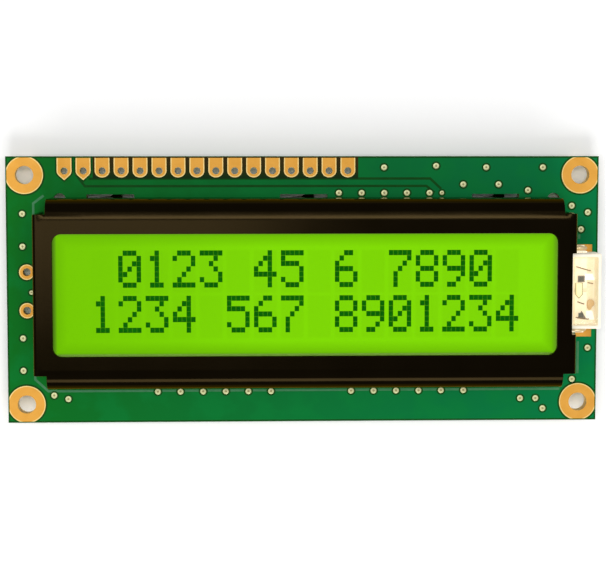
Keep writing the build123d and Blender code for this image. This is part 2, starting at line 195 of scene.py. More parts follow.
def as_piece(name, bm, material, crease=25):
    """Closes a mesh drawn in millimetres and makes it a piece in metres, creased past an angle."""
    bmesh.ops.remove_doubles(bm, verts=bm.verts, dist=0.0005)
    bmesh.ops.recalc_face_normals(bm, faces=bm.faces)
    for face in bm.faces:
        face.smooth = True
    for edge in bm.edges:
        edge.smooth = edge.calc_face_angle(math.pi) < math.radians(crease)
    bmesh.ops.scale(bm, vec=(MM, MM, MM), verts=bm.verts)
    mesh = bpy.data.meshes.new(name)
    bm.to_mesh(mesh)
    bm.free()
    mesh.materials.append(material)
    piece = bpy.data.objects.new(name, mesh)
    bpy.context.scene.collection.objects.link(piece)
    return piece


def mottled(name, size, detail, dark, light, finish):
    """A finish that wanders between two tones in spots of a size in millimetres, and glows in its tone when
    given an emission strength.
    """
    material, tree = new_material(name)
    place = add(tree, "TexCoord").outputs["Object"]
    spots = add(tree, "TexNoise", {"Vector": place, "Scale": per(size), "Detail": detail})
    tone = add(tree, "MixRGB", {"Fac": spots, "Color1": linear(dark), "Color2": linear(light)})
    if "Emission Strength" in finish:
        finish = {"Emission Color": tone, **finish}
    surface = add(tree, "BsdfPrincipled", {"Base Color": tone, **finish})
    add(tree, "OutputMaterial", {"Surface": surface})
    return material


bare_mask = mottled("solder mask on bare laminate", 1.2, 3.0, "#04400c", "#0c5216",
                    {"Roughness": 0.5, "IOR": 1.5, "Specular IOR Level": 0.06})

LINE_Y = 14.5
LINE_GAP = 0.5
LINE_LEFT, LINE_RIGHT = -29.4, 17.1
bm = bmesh.new()
ribbon(bm, [(LINE_LEFT - 1.2, LINE_Y + LINE_GAP + 0.6), (LINE_LEFT, LINE_Y - LINE_GAP),
            (LINE_RIGHT - 0.5, LINE_Y - LINE_GAP), (LINE_RIGHT + 0.6, 13.1)], GAP_WIDTH, FRONT, GAP_RISE)
ribbon(bm, [(LINE_LEFT + 0.5, LINE_Y + LINE_GAP), (LINE_RIGHT, LINE_Y + LINE_GAP), (LINE_RIGHT + 1.5, 13.6)],
       GAP_WIDTH, FRONT, GAP_RISE)
left, right = board_low.x + EDGE_GAP_INSET, board_high.x - EDGE_GAP_INSET
bottom, top = board_low.y + EDGE_GAP_INSET, board_high.y - EDGE_GAP_INSET
ribbon(bm, [(0.01, top), (right, top), (right, bottom), (left, bottom), (left, top), (0, top)], EDGE_GAP,
       FRONT, GAP_RISE)
etched_gaps = as_piece("etched_gaps", bm, bare_mask)
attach(etched_gaps, "root")


# Guard line: a copper line that runs round the bezel's foot. Through the mask it shows as a thin, paler line,
# cut off at the corners and broken where the terminals and the lamp stand.
GUARD_WIDTH = 0.32
GUARD_LEFT, GUARD_RIGHT, GUARD_LOW = -36.33, 37.45, -13.72
guard_runs = (((GUARD_LEFT, 4.3), (GUARD_LEFT, 11.7), (GUARD_LEFT + 1.4, 12.75)),
              ((GUARD_LEFT, -4.6), (GUARD_LEFT, -12.1), (GUARD_LEFT + 1.75, GUARD_LOW), (35.0, GUARD_LOW)),
              ((GUARD_RIGHT, -11.6), (GUARD_RIGHT, -7.2)), ((GUARD_RIGHT, 6.8), (GUARD_RIGHT, 7.4)))

covered_copper = mottled("copper line under solder mask", 0.8, 2.0, "#2f7448", "#4f8a60",
                         {"Roughness": 0.45, "IOR": 1.5, "Specular IOR Level": 0.08})

bm = bmesh.new()
for run in guard_runs:
    ribbon(bm, run, GUARD_WIDTH, FRONT, GAP_RISE)
guard_line = as_piece("guard_line", bm, covered_copper)
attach(guard_line, "root")


# Header clearing: the strip of laminate between the header pads has no copper at all, so through the mask
# it looks almost black-brown. It starts after the second pad and ends past the last one.
CLEARING_LOW, CLEARING_RISE = 15.0, 0.02
clearing_left = header_first.x + 1.5 * PITCH
clearing_right = header_last.x + 0.55 * PITCH
clearing_top = board_high.y - 0.05

bare_laminate, tree = new_material("dark laminate seen through the mask")
place = add(tree, "TexCoord").outputs["Object"]
height = add(tree, "SeparateXYZ", {"Vector": place}).outputs["Y"]
upward = add(tree, "MapRange", {"Value": height, "From Min": 15.2 * MM, "From Max": 17.0 * MM})
weave = add(tree, "TexNoise", {"Vector": place, "Scale": per(0.5), "Detail": 3.0})
depth = add(tree, "MixRGB", {"Fac": upward, "Color1": linear("#06300a"), "Color2": linear("#3a2a04")})
fibres = add(tree, "MapRange", {"Value": weave, "To Max": 0.4})
shade = add(tree, "MixRGB", {"Fac": fibres, "Color1": depth, "Color2": linear("#1c3208")})
surface = add(tree, "BsdfPrincipled", {"Base Color": shade, "Roughness": 0.5, "IOR": 1.5,
                                       "Specular IOR Level": 0.06})
add(tree, "OutputMaterial", {"Surface": surface})


def pierce(bm, outline, holes, rise):
    """Fills a flat outline, but for round holes (x, y, radius), and raises it into a thin plate."""
    edges = list(outline)
    for x, y, radius in holes:
        rim = bmesh.ops.create_circle(bm, segments=24, radius=radius,
                                      matrix=Matrix.Translation((x, y, FRONT)))["verts"]
        edges += {e for v in rim for e in v.link_edges}
    filled = bmesh.ops.triangle_fill(bm, edges=edges, use_beauty=True)["geom"]
    thicken(bm, [f for f in filled if isinstance(f, bmesh.types.BMFace)], rise)


header_hole = mounts["header_first_hole"]["dims"]["r_mm"]
header_x = [header_first.x + n * PITCH for n in range(HEADER_COUNT)]
bm = bmesh.new()
middle = Matrix.Translation(((clearing_left + clearing_right) / 2, (CLEARING_LOW + clearing_top) / 2, FRONT))
spread = Matrix.Diagonal(((clearing_right - clearing_left) / 2, (clearing_top - CLEARING_LOW) / 2, 1, 1))
plate = bmesh.ops.create_grid(bm, x_segments=1, y_segments=1, size=1.0, matrix=middle @ spread)["verts"]
outline = plate[0].link_faces[0]
rim = outline.edges[:]
bmesh.ops.delete(bm, geom=[outline], context="FACES_ONLY")
pierce(bm, rim, [(x, header_first.y, header_hole) for x in header_x[2:]], CLEARING_RISE)
header_clearing = as_piece("header_clearing", bm, bare_laminate)
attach(header_clearing, "root")


# Mounting eyelets: plated round the four screw holes, with copper flanges on both faces and a plated wall
# between them. Thin gold over nickel gives a satin, slightly uneven yellow.
PAD_RISE = 0.06
PAD_EDGE = 0.025
PLATED_WALL = 0.04
BORE_SKIN = 0.02
EDGE_MARGIN = 0.16
MOUNT_FLANGE = 2.55
PLATING_GRAIN = 0.08
mount_dims = mounts["mounting_holes"]["dims"]
mount_x, mount_y = mount_dims["spacing_x_mm"] / 2, mount_dims["spacing_y_mm"] / 2
mount_bore = mount_dims["hole_r_mm"] - BORE_SKIN


def plating(name, size, dark, light):
    """Thin gold with clouds of a size in millimetres and a fine satin grain."""
    material, tree = new_material(name)
    place = add(tree, "TexCoord").outputs["Object"]
    cloud = add(tree, "TexNoise", {"Vector": place, "Scale": per(size), "Detail": 3.0})
    tone = add(tree, "MixRGB", {"Fac": cloud, "Color1": linear(dark), "Color2": linear(light)})
    fine = add(tree, "TexNoise", {"Vector": place, "Scale": per(PLATING_GRAIN), "Detail": 2.0})
    rough = add(tree, "MapRange", {"Value": fine, "To Min": 0.48, "To Max": 0.64})
    surface = add(tree, "BsdfPrincipled", {"Base Color": tone, "Metallic": 1.0, "Roughness": rough})
    add(tree, "OutputMaterial", {"Surface": surface})
    return material


pale_gold = plating("paler gold plating", 0.7, "#d8b868", "#e8cf94")


def turn(bm, profile, centre, steps, closed=True):
    """Spins an outline of (radius, height) points once round an upright axis."""
    x, y = centre
    corners = [bm.verts.new((x + radius, y, z)) for radius, z in profile]
    following = corners[1:] + corners[:1] if closed else corners[1:]
    sides = [bm.edges.new(pair) for pair in zip(corners, following)]
    bmesh.ops.spin(bm, geom=corners + sides, cent=(x, y, 0), axis=(0, 0, 1), angle=math.tau, steps=steps,
                   use_merge=True)


def eyelet(bm, centre, bore, front_flange, back_flange, steps):
    """A plated hole: a flange on each face of the board and the wall between them."""
    outer = bore + PLATED_WALL
    turn(bm, [(bore, BACK - PAD_RISE), (bore, FRONT + PAD_RISE),
              (front_flange - PAD_EDGE, FRONT + PAD_RISE), (front_flange, FRONT + PAD_RISE - PAD_EDGE),
              (front_flange, FRONT), (outer, FRONT), (outer, BACK), (back_flange, BACK),
              (back_flange, BACK - PAD_RISE + PAD_EDGE), (back_flange - PAD_EDGE, BACK - PAD_RISE)],
         centre, steps)


def trim(bm, margin):
    """Cuts off what comes nearer to the board's edges than a margin, and closes the cuts."""
    for axis, reach in ((Vector((1, 0, 0)), board_high.x), (Vector((0, 1, 0)), board_high.y)):
        for sign in (-1, 1):
            cut = bmesh.ops.bisect_plane(bm, geom=bm.verts[:] + bm.edges[:] + bm.faces[:], clear_outer=True,
                                         plane_co=axis * sign * (reach - margin), plane_no=axis * sign)
            rim = [e for e in cut["geom_cut"] if isinstance(e, bmesh.types.BMEdge)]
            bmesh.ops.holes_fill(bm, edges=rim, sides=0)


mount_places = [(x, y) for x in (-mount_x, mount_x) for y in (-mount_y, mount_y)]
bm = bmesh.new()
for centre in mount_places:
    eyelet(bm, centre, mount_bore, MOUNT_FLANGE, MOUNT_FLANGE, 64)
trim(bm, EDGE_MARGIN)
mounting_eyelets = as_piece("mounting_eyelets", bm, pale_gold)
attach(mounting_eyelets, "root")
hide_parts("mounting_pads")


# Mask clearances: round every plated ring the mask stands back a little, and the bare laminate shows as
# a thin dark outline.
CLEARANCE_RISE = 0.016
CLEARANCE, CLEARANCE_MARGIN = 0.22, 0.02

rings = mounts["backlight_upper_hole"], mounts["backlight_lower_hole"]
TERMINAL_RING = 1.05
terminals = [Vector(ring["pos_m"]) / MM for ring in rings]
VIA = 0.4
SMALL_VIA = 0.3
VIA_PITCH = 3.07
vias = [(10.85, 16.5), (17.9, 16.7), (24.7, 16.5), (32.4, 16.5), (21.6, 14.2), (26.4, 14.2), (30.4, 13.4),
        (-37.83, 10.3), (-37.83, 5.9), (-37.9, -6.5), (-37.9, -10.9), (-33.8, -14.3), (-31.9, -14.8),
        (36.4, 11.3), (38.6, 10.4), (37.7, 8.1), (38.8, -8.1), (36.7, -12.4), (29.6, -15.0), (31.7, -15.0),
        (32.7, -16.4)]
vias += [(4.75 + VIA_PITCH * n, 13.06) for n in range(5)]
vias += [(start + VIA_PITCH * n, -13.85) for start in (-19.8, 6.45) for n in range(6)]
small_vias = [(18.7, 13.06), (-36.7, -0.3)]
dots = [(spot, VIA) for spot in vias] + [(spot, SMALL_VIA) for spot in small_vias]

HEADER_PAD = 1.0
PAD_FLATTENING = 0.88
pad_top = box("header_pads")[1].y - EDGE_MARGIN


def ring(bm, centre, bore, radius, low, high, steps):
    """A thin flat ring."""
    turn(bm, [(bore, low), (bore, high), (radius, high), (radius, low)], centre, steps)


def pad_outline(bm, x, radius, pointed):
    """Edges of one header pad: a flattened round or a pointed lower end, straight sides and a cut top."""
    y = header_first.y
    rim = bmesh.ops.create_circle(bm, cap_ends=True, segments=32, radius=radius,
                                  matrix=Matrix.Translation((x, y, FRONT)))["verts"]
    for vert in rim:
        if vert.co.y > y + 0.01:
            vert.co.y += 2 * HEADER_PAD
        else:
            if pointed and vert.co.y < y - radius * math.sqrt(0.5):
                vert.co.y = y - radius * math.sqrt(2) + abs(vert.co.x - x)
            vert.co.y = y + (vert.co.y - y) * PAD_FLATTENING
    outline = rim[0].link_faces[0]
    kept = bmesh.ops.bisect_plane(bm, geom=[outline, *outline.edges, *outline.verts],
                                  plane_co=(0, pad_top, 0), plane_no=(0, 1, 0), clear_outer=True)["geom"]
    edges = [e for e in kept if isinstance(e, bmesh.types.BMEdge)]
    bmesh.ops.delete(bm, geom=[f for f in kept if isinstance(f, bmesh.types.BMFace)], context="FACES_ONLY")
    return edges


bm = bmesh.new()
for spot, radius in dots:
    made = bmesh.ops.create_circle(bm, cap_ends=True, segments=28, radius=radius + CLEARANCE,
                                   matrix=Matrix.Translation((*spot, FRONT)))["verts"]
    thicken(bm, [made[0].link_faces[0]], CLEARANCE_RISE)
for end in terminals:
    ring(bm, (end.x, end.y), rings[0]["dims"]["r_mm"], TERMINAL_RING + CLEARANCE, FRONT,
         FRONT + CLEARANCE_RISE, 40)
for centre in mount_places:
    ring(bm, centre, mount_bore, MOUNT_FLANGE + CLEARANCE, FRONT, FRONT + CLEARANCE_RISE, 64)
trim(bm, CLEARANCE_MARGIN)
for x in header_x[:2]:
    pierce(bm, pad_outline(bm, x, HEADER_PAD + CLEARANCE, True),
           [(x, header_first.y, header_hole)], CLEARANCE_RISE)
mask_clearances = as_piece("mask_clearances", bm, bare_mask)
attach(mask_clearances, "root")


# Header pads: sixteen plated pads that run from the board's edge down round a hole each. The first two
# end in a point, which marks where the row starts. A plated wall lines every hole to a ring on the back.
HEADER_BORE = header_hole - BORE_SKIN
BACK_RING = 0.95

bm = bmesh.new()
for n, x in enumerate(header_x):
    pierce(bm, pad_outline(bm, x, HEADER_PAD, n < 2), [(x, header_first.y, header_hole)], PAD_RISE)
    eyelet(bm, (x, header_first.y), HEADER_BORE, HEADER_BORE + PLATED_WALL + PAD_EDGE, BACK_RING, 24)
plated_header = as_piece("plated_header", bm, pale_gold)
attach(plated_header, "root")
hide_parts("header_pads")


# Terminal eyelets: two plated holes at the left end for the backlight's own connector, which isn't fitted.
# They are plated like the mounting holes, only smaller.
TERMINAL_BORE = rings[0]["dims"]["r_mm"] - BORE_SKIN

bm = bmesh.new()
for end in terminals:
    eyelet(bm, (end.x, end.y), TERMINAL_BORE, TERMINAL_RING, TERMINAL_RING, 40)
terminal_eyelets = as_piece("terminal_eyelets", bm, pale_gold)
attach(terminal_eyelets, "root")
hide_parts("terminal_rings")


# Plated faces: inside a narrow paler rim, the middle of each pad is a more orange gold.
FACE_RISE = 0.012
FACE_RIM = 0.15
face_low, face_high = FRONT + PAD_RISE, FRONT + PAD_RISE + FACE_RISE

gold = plating("gold plating over nickel", 1.5, "#c68f38", "#d6a14c")

bm = bmesh.new()
for n, x in enumerate(header_x):
    pierce(bm, pad_outline(bm, x, HEADER_PAD - FACE_RIM, n < 2),
           [(x, header_first.y, header_hole)], FACE_RISE)
bmesh.ops.translate(bm, vec=(0, 0, PAD_RISE), verts=bm.verts)
for end in terminals:
    ring(bm, (end.x, end.y), TERMINAL_BORE, TERMINAL_RING - FACE_RIM, face_low, face_high, 40)
for centre in mount_places:
    ring(bm, centre, mount_bore, MOUNT_FLANGE - FACE_RIM, face_low, face_high, 64)
trim(bm, EDGE_MARGIN)
plated_faces = as_piece("plated_faces", bm, gold)
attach(plated_faces, "root")


# Vias: small plated holes that carry lines from face to face, filled and levelled with tin, so each is a
# pale dot with a shallow dimple on both faces.
VIA_RISE = 0.05
VIA_DIMPLE = 0.45

tinned = mottled("tinned copper under flux", 0.4, 2.0, "#b6b882", "#d0d2a0",
                 {"Metallic": 0.4, "Roughness": 0.4})

bm = bmesh.new()
for spot, radius in dots:
    for face, out in ((FRONT, 1), (BACK, -1)):
        turn(bm, [(0, face + out * VIA_RISE * 0.5), (radius * VIA_DIMPLE, face + out * VIA_RISE * 0.75),
                  (radius * 0.75, face + out * VIA_RISE), (radius, face + out * VIA_RISE * 0.4),
                  (radius, face - out * 0.02), (0, face - out * 0.02)], spot, 20, closed=False)
filled_vias = as_piece("filled_vias", bm, tinned, crease=50)
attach(filled_vias, "root")

via_flux = mottled("brown flux in a via's dimple", 0.3, 2.0, "#7d6e3c", "#b3a76c",
                   {"Roughness": 0.35, "IOR": 1.5})

bm = bmesh.new()
for spot, radius in dots:
    for face, out in ((FRONT, 1), (BACK, -1)):
        turn(bm, [(0, face + out * VIA_RISE * 0.82), (radius * VIA_DIMPLE * 0.8, face + out * VIA_RISE * 0.8),
                  (radius * VIA_DIMPLE, face + out * VIA_RISE * 0.6), (0, face + out * VIA_RISE * 0.3)],
             spot, 12, closed=False)
via_dimples = as_piece("via_dimples", bm, via_flux, crease=50)
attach(via_dimples, "root")


# Lamp pads: two gold pads at the right edge that the lamp's feet are soldered to. The lower one is longer,
# and both are plated like the header's pads.
PAD_EXTRA = 0.5
land_low, land_high = box("lamp_pads")
LAND_LENGTH = 1.9


def block(bm, low, high):
    """A square block between two corners."""
    low, high = Vector(low), Vector(high)
    made = bmesh.ops.create_cube(bm, size=1.0, matrix=Matrix.Translation((low + high) / 2)
                                 @ Matrix.Diagonal((*(high - low), 1)))
    return made["verts"]


def soften(bm, offset, segments=2, sharper_than=40):
    """Rounds the sharp edges of a mesh."""
    edges = [e for e in bm.edges if e.calc_face_angle(0) > math.radians(sharper_than)]
    bmesh.ops.bevel(bm, geom=edges, offset=offset, offset_type="OFFSET", segments=segments, profile=0.5,
                    affect="EDGES", clamp_overlap=True, material=-1)


bm = bmesh.new()
block(bm, (land_low.x, land_high.y - LAND_LENGTH, FRONT), (land_high.x, land_high.y, FRONT + PAD_RISE))
block(bm, (land_low.x, land_low.y - PAD_EXTRA, FRONT),
      (land_high.x, land_low.y + LAND_LENGTH, FRONT + PAD_RISE))
soften(bm, PAD_EDGE)
lamp_lands = as_piece("lamp_lands", bm, gold)
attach(lamp_lands, "root")
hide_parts("lamp_pads")


# Reflector and diffuser: white polyester films, die-cut to size, that lie under and over the light guide.
# They are matt and milky.
white_film = mottled("white polyester film", 3.0, 2.0, "#eceee9", "#f4f5f1",
                     {"Roughness": 0.55, "IOR": 1.6})
dress("reflector_film", white_film)
dress("diffuser_film", white_film)


# Light guide: one block of clear moulded acrylic under the display. Its back is roughened so that light
# leaves it evenly.
clear_acrylic, tree = new_material("clear moulded acrylic")
place = add(tree, "TexCoord").outputs["Object"]
haze = add(tree, "TexNoise", {"Vector": place, "Scale": per(2.0), "Detail": 3.0})
rough = add(tree, "MapRange", {"Value": haze, "To Min": 0.04, "To Max": 0.14})
through = add(tree, "BsdfTransparent", {"Color": linear("#eef6ec")})
shine = add(tree, "BsdfPrincipled", {"Base Color": linear("#e6f2e4"), "Roughness": rough, "IOR": 1.49})
blend = add(tree, "MixShader", {0: 0.35, 1: through, 2: shine})
add(tree, "OutputMaterial", {"Surface": blend})
dress("light_guide", clear_acrylic)


# Backlight frame: cream white plastic, moulded in one piece round the light guide, matt and a little
# uneven where the plastic flowed.
white_plastic = mottled("cream white moulded plastic", 1.8, 3.0, "#f6efd9", "#fdf8ea",
                        {"Roughness": 0.42, "IOR": 1.5, "Specular IOR Level": 0.3})
dress("backlight_frame", white_plastic)


# Lamp housing: the same plastic, moulded round the lead strip as a block with soft edges and a trough that
# holds the two dice. Its walls carry a faint painted glow that brightens them.
HOUSING_EDGE = 0.2
TROUGH_RIM = 0.45
lamp_low, lamp_high = box("lamp_housing")
resin_low, resin_high = box("lamp_resin")
trough_low = Vector((resin_low.x, lamp_low.y + TROUGH_RIM, resin_low.z))
trough_high = Vector((lamp_high.x - TROUGH_RIM, lamp_high.y - TROUGH_RIM, lamp_high.z))

glowing_plastic = mottled("cream plastic with painted glow", 1.2, 3.0, "#f6e9cf", "#fdf7ea",
                          {"Roughness": 0.42, "IOR": 1.5, "Specular IOR Level": 0.2,
                           "Emission Strength": 0.14})

bm = bmesh.new()
block(bm, lamp_low, lamp_high)
roof = max(bm.faces, key=lambda face: face.calc_center_median().z)
bmesh.ops.inset_individual(bm, faces=[roof], thickness=0.3)
middle = roof.calc_center_median()
for vert in roof.verts:
    vert.co.x = trough_low.x if vert.co.x < middle.x else trough_high.x
    vert.co.y = trough_low.y if vert.co.y < middle.y else trough_high.y
sunk = bmesh.ops.extrude_face_region(bm, geom=[roof])["geom"]
bmesh.ops.translate(bm, vec=(0, 0, trough_low.z - lamp_high.z),
                    verts=[v for v in sunk if isinstance(v, bmesh.types.BMVert)])
if roof.is_valid:
    bmesh.ops.delete(bm, geom=[roof], context="FACES_ONLY")
soften(bm, HOUSING_EDGE, segments=3)
lamp_body = as_piece("lamp_body", bm, glowing_plastic, crease=40)
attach(lamp_body, "root")
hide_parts("lamp_housing")


# Lamp leads and dice: a strip of silver-plated metal, pressed to shape, carries two tiny light-emitting
# dice. Its ends come out of the housing as the lamp's feet.
lead_silver, tree = new_material("silver-plated lead strip")
place = add(tree, "TexCoord").outputs["Object"]
rolled = add(tree, "TexNoise", {"Vector": place, "Scale": per(0.3), "Detail": 2.0})
rough = add(tree, "MapRange", {"Value": rolled, "To Min": 0.25, "To Max": 0.42})
surface = add(tree, "BsdfPrincipled", {"Base Color": linear("#f0e8d2"), "Metallic": 0.5,
                                       "Roughness": rough})
add(tree, "OutputMaterial", {"Surface": surface})

# Painted glow: inside the trough the lead strip is given a faint emission that brightens it.
glowing_lead = mottled("silver-plated lead with painted glow", 0.9, 2.0, "#f5e4c0", "#fdf6e6",
                   {"Metallic": 0.2, "Roughness": 0.35, "Emission Strength": 0.3})
dress("lamp_leads", glowing_lead)

dice = mottled("light-emitting semiconductor die", 0.2, 1.0, "#1d2220", "#4a463e",
               {"Roughness": 0.2, "IOR": 1.6})
dress("lamp_dice", dice)


# Die mounts: each die is cemented to the strip with a spot of dark, silver-filled resin; the dark spot also
# paints the shade round the die. Beside it a plated land carries a painted highlight, white and faintly
# glowing.
dice_low, dice_high = box("lamp_dice")
dice_x = (dice_low.x + dice_high.x) / 2
HALF_DIE = 0.3
dice_y = dice_high.y - HALF_DIE, dice_low.y + HALF_DIE
lead_top = dice_low.z
GLUE, GLUE_RISE, GLUE_EDGE = 0.44, 0.09, 0.03
LAND_THICK, LAND_EDGE, LAND_SLANT = 0.06, 0.02, 0.3

# The cement's dark spots are partly real resin and partly painted shade round the dice.
cement_and_shade = mottled("silver-filled die cement and painted shade", 0.25, 2.0, "#6a5c52", "#94867a",
                     {"Metallic": 0.2, "Roughness": 0.5})

bm = bmesh.new()
block(bm, (dice_x - GLUE, dice_y[0] - GLUE, lead_top),
      (dice_x + GLUE + 0.06, dice_y[0] + GLUE, lead_top + GLUE_RISE))
bmesh.ops.create_cone(bm, cap_ends=True, segments=3, radius1=0.72, radius2=0.6, depth=GLUE_RISE,
                      matrix=Matrix.Translation((dice_x + 0.15, dice_y[1] - 0.1, lead_top + GLUE_RISE / 2)))
soften(bm, GLUE_EDGE)
die_glue_and_shade = as_piece("die_glue_and_shade", bm, cement_and_shade)
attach(die_glue_and_shade, "root")

# Painted highlight: a white, faintly glowing plate beside each die stands for the light that the plated land
# throws back.
highlight_land = mottled("silver land with painted highlight", 0.6, 1.0, "#f6f2f2", "#ffffff",
                     {"Roughness": 0.3, "Emission Strength": 0.45})

bm = bmesh.new()
for left, low, high in ((dice_x + 0.52, dice_y[0] - 0.15, dice_y[0] + 0.7),
                        (dice_x + 0.72, dice_y[1] - 0.62, dice_y[1] + 0.6)):
    land = block(bm, (left, low, lead_top), (trough_high.x - 0.02, high, lead_top + LAND_THICK))
    for vert in land:
        if vert.co.y > high - 0.01 and vert.co.x > left + 0.1:
            vert.co.x -= LAND_SLANT
soften(bm, LAND_EDGE)
highlight_lands = as_piece("highlight_lands", bm, highlight_land)
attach(highlight_lands, "root")


# Trough rib: a low pointed rib of moulded plastic, with a faint painted glow, parts the two halves of the
# trough.
# A thin olive plate, a little larger than the rib, paints the shadow round its foot.
RIB_WIDTH, RIB_TOP, RIB_POINT = 0.75, 0.95, -0.95
RIB_RISE, RIB_EDGE = 0.5, 0.05
rib_plastic = mottled("pale yellow moulded plastic", 0.8, 2.0, "#f8efb4", "#fdf8d0",
                      {"Roughness": 0.4, "Emission Strength": 0.3})


def pointed_bar(bm, left, right, top, point, level, rise):
    """A bar along the trough whose lower end comes to a point."""
    half = (right - left) / 2
    block(bm, (left, point + half, level), (right, top, level + rise))
    tail = min(bm.faces, key=lambda face: face.calc_center_median().y)
    grown = bmesh.ops.extrude_face_region(bm, geom=[tail])["geom"]
    if tail.is_valid:
        bmesh.ops.delete(bm, geom=[tail], context="FACES_ONLY")
    tip = [v for v in grown if isinstance(v, bmesh.types.BMVert)]
    bmesh.ops.translate(bm, vec=(0, -half, 0), verts=tip)
    bmesh.ops.scale(bm, vec=(0.1, 1, 1), verts=tip, space=Matrix.Translation((-left - half, 0, 0)))


rib_left = dice_x - 0.68
bm = bmesh.new()
pointed_bar(bm, rib_left, rib_left + RIB_WIDTH, RIB_TOP, RIB_POINT, lead_top, RIB_RISE)
soften(bm, RIB_EDGE)
trough_rib = as_piece("trough_rib", bm, rib_plastic)
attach(trough_rib, "root")

groove_shade = mottled("olive painted shadow round the rib", 0.4, 2.0, "#8f8a58", "#c2bd94", {"Roughness": 0.5})

bm = bmesh.new()
pointed_bar(bm, rib_left - 0.1, rib_left + RIB_WIDTH + 0.2, RIB_TOP + 0.02, RIB_POINT - 0.2, lead_top, 0.05)
rib_shadow = as_piece("rib_shadow", bm, groove_shade)
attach(rib_shadow, "root")


# Bond wires: thin gold wires, welded at both ends, loop between the dice and the leads. Their brown is
# painted shade, for gold seen against the lit trough. They are drawn thicker than real ones, so that they
# show.
WIRE = 0.075
wire_runs = (((-0.6, 1.65), (1.25, 1.1)), ((-0.4, -3.1), (0.45, -3.4)), ((-0.6, -5.2), (1.1, -5.42)),
             ((0.95, -0.5), (1.6, -0.62)))

brown_wire = mottled("gold wire painted brown as shaded", 0.3, 1.0, "#6b4a20", "#8f6a34",
                     {"Metallic": 0.6, "Roughness": 0.3})

bm = bmesh.new()
for near, far in wire_runs:
    near, far = (Vector((dice_x + x, dice_y[0] + y, lead_top + 0.02)) for x, y in (near, far))
    section = bmesh.ops.create_circle(bm, segments=8, radius=WIRE, matrix=Matrix.Translation(near))["verts"]
    rim = {e for v in section for e in v.link_edges}
    bmesh.ops.spin(bm, geom=[*section, *rim], cent=(near + far) / 2, axis=(near - far).cross((0, 0, 1)),
                   angle=math.pi, steps=16)
bmesh.ops.holes_fill(bm, edges=[e for e in bm.edges if e.is_boundary], sides=0)
bond_wires = as_piece("bond_wires", bm, brown_wire)
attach(bond_wires, "root")


# Die bond: a patch of amber resin, dropped and cured beside the second die. It lies flat on the strip as
# two drops that ran together.
amber_resin = mottled("amber bonding resin", 0.5, 2.0, "#c99a5a", "#ecc88a",
                      {"Roughness": 0.3, "IOR": 1.55})


def mound(bm, centre, reach_x, reach_y, rise):
    """A low oval drop."""
    before = set(bm.verts)
    turn(bm, [(0, rise), (0.5, rise * 0.85), (0.85, rise * 0.4), (1.0, 0), (0, 0)], (0, 0), 24, closed=False)
    drop = [v for v in bm.verts if v not in before]
    bmesh.ops.scale(bm, vec=(reach_x, reach_y, 1), verts=drop)
    bmesh.ops.translate(bm, vec=centre, verts=drop)


bm = bmesh.new()
mound(bm, (dice_x + 1.2, dice_y[0] - 3.5, lead_top), 0.38, 0.72, 0.1)
mound(bm, (dice_x + 1.45, dice_y[0] - 3.3, lead_top), 0.42, 0.5, 0.05)
amber_patch = as_piece("amber_patch", bm, amber_resin)
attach(amber_patch, "root")


# Lamp solder: tin solder, melted over each foot of the lamp, sets as a low bright fillet that holds the
# foot to its pad.
lead_low, lead_high = box("lamp_leads")
SOLDER_INSET = 0.42
FILLET = 1.15, 0.5, 0.42

solder = mottled("tin solder", 0.5, 2.0, "#d9b878", "#f3e2bf", {"Metallic": 0.35, "Roughness": 0.35})

bm = bmesh.new()
for end in (lead_low.y + SOLDER_INSET, lead_high.y - SOLDER_INSET):
    mound(bm, (dice_x + 0.1, end, FRONT + PAD_RISE), *FILLET)
lamp_solder = as_piece("lamp_solder", bm, solder, crease=60)
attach(lamp_solder, "root")


# Lamp resin: clear epoxy cast over the dice to just under the rim, drawn up a little at the walls. It shows
# what lies below, with a wet shine.
cast_resin, tree = new_material("clear cast epoxy")
place = add(tree, "TexCoord").outputs["Object"]
swirl = add(tree, "TexNoise", {"Vector": place, "Scale": per(1.5), "Detail": 2.0})
rough = add(tree, "MapRange", {"Value": swirl, "To Min": 0.03, "To Max": 0.1})
through = add(tree, "BsdfTransparent", {"Color": linear("#fffdf6")})
shine = add(tree, "BsdfPrincipled", {"Base Color": linear("#fcf4de"), "Roughness": rough, "IOR": 1.5})
blend = add(tree, "MixShader", {0: 0.12, 1: through, 2: shine})
add(tree, "OutputMaterial", {"Surface": blend})

bm = bmesh.new()
block(bm, trough_low, (trough_high.x, trough_high.y, resin_high.z))
roof = max(bm.faces, key=lambda face: face.calc_center_median().z)
bmesh.ops.inset_individual(bm, faces=[roof], thickness=0.25, depth=-0.06)
lamp_fill = as_piece("lamp_fill", bm, cast_resin, crease=30)
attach(lamp_fill, "root")
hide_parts("lamp_resin")


# Zebra strips: silicone rubber in thin layers, conducting carbon between insulating white, which join the
# board's contacts to those of the front glass. The layers are drawn coarser than the real 0.1 mm.
ZEBRA_LAYER = 0.4
layered_rubber, tree = new_material("layered silicone rubber")
place = add(tree, "TexCoord").outputs["Object"]
layers = add(tree, "TexWave", {"Vector": place, "Scale": per(ZEBRA_LAYER) / 20}, wave_type="BANDS",
             bands_direction="X")
sharp = add(tree, "MapRange", {"Value": layers.outputs["Fac"], "From Min": 0.4, "From Max": 0.6})
tone = add(tree, "MixRGB", {"Fac": sharp, "Color1": linear("#2a2a2c"), "Color2": linear("#c9ccd0")})
surface = add(tree, "BsdfPrincipled", {"Base Color": tone, "Roughness": 0.7, "IOR": 1.41})
add(tree, "OutputMaterial", {"Surface": surface})
dress("zebra_strip_top", layered_rubber)
dress("zebra_strip_bottom", layered_rubber)


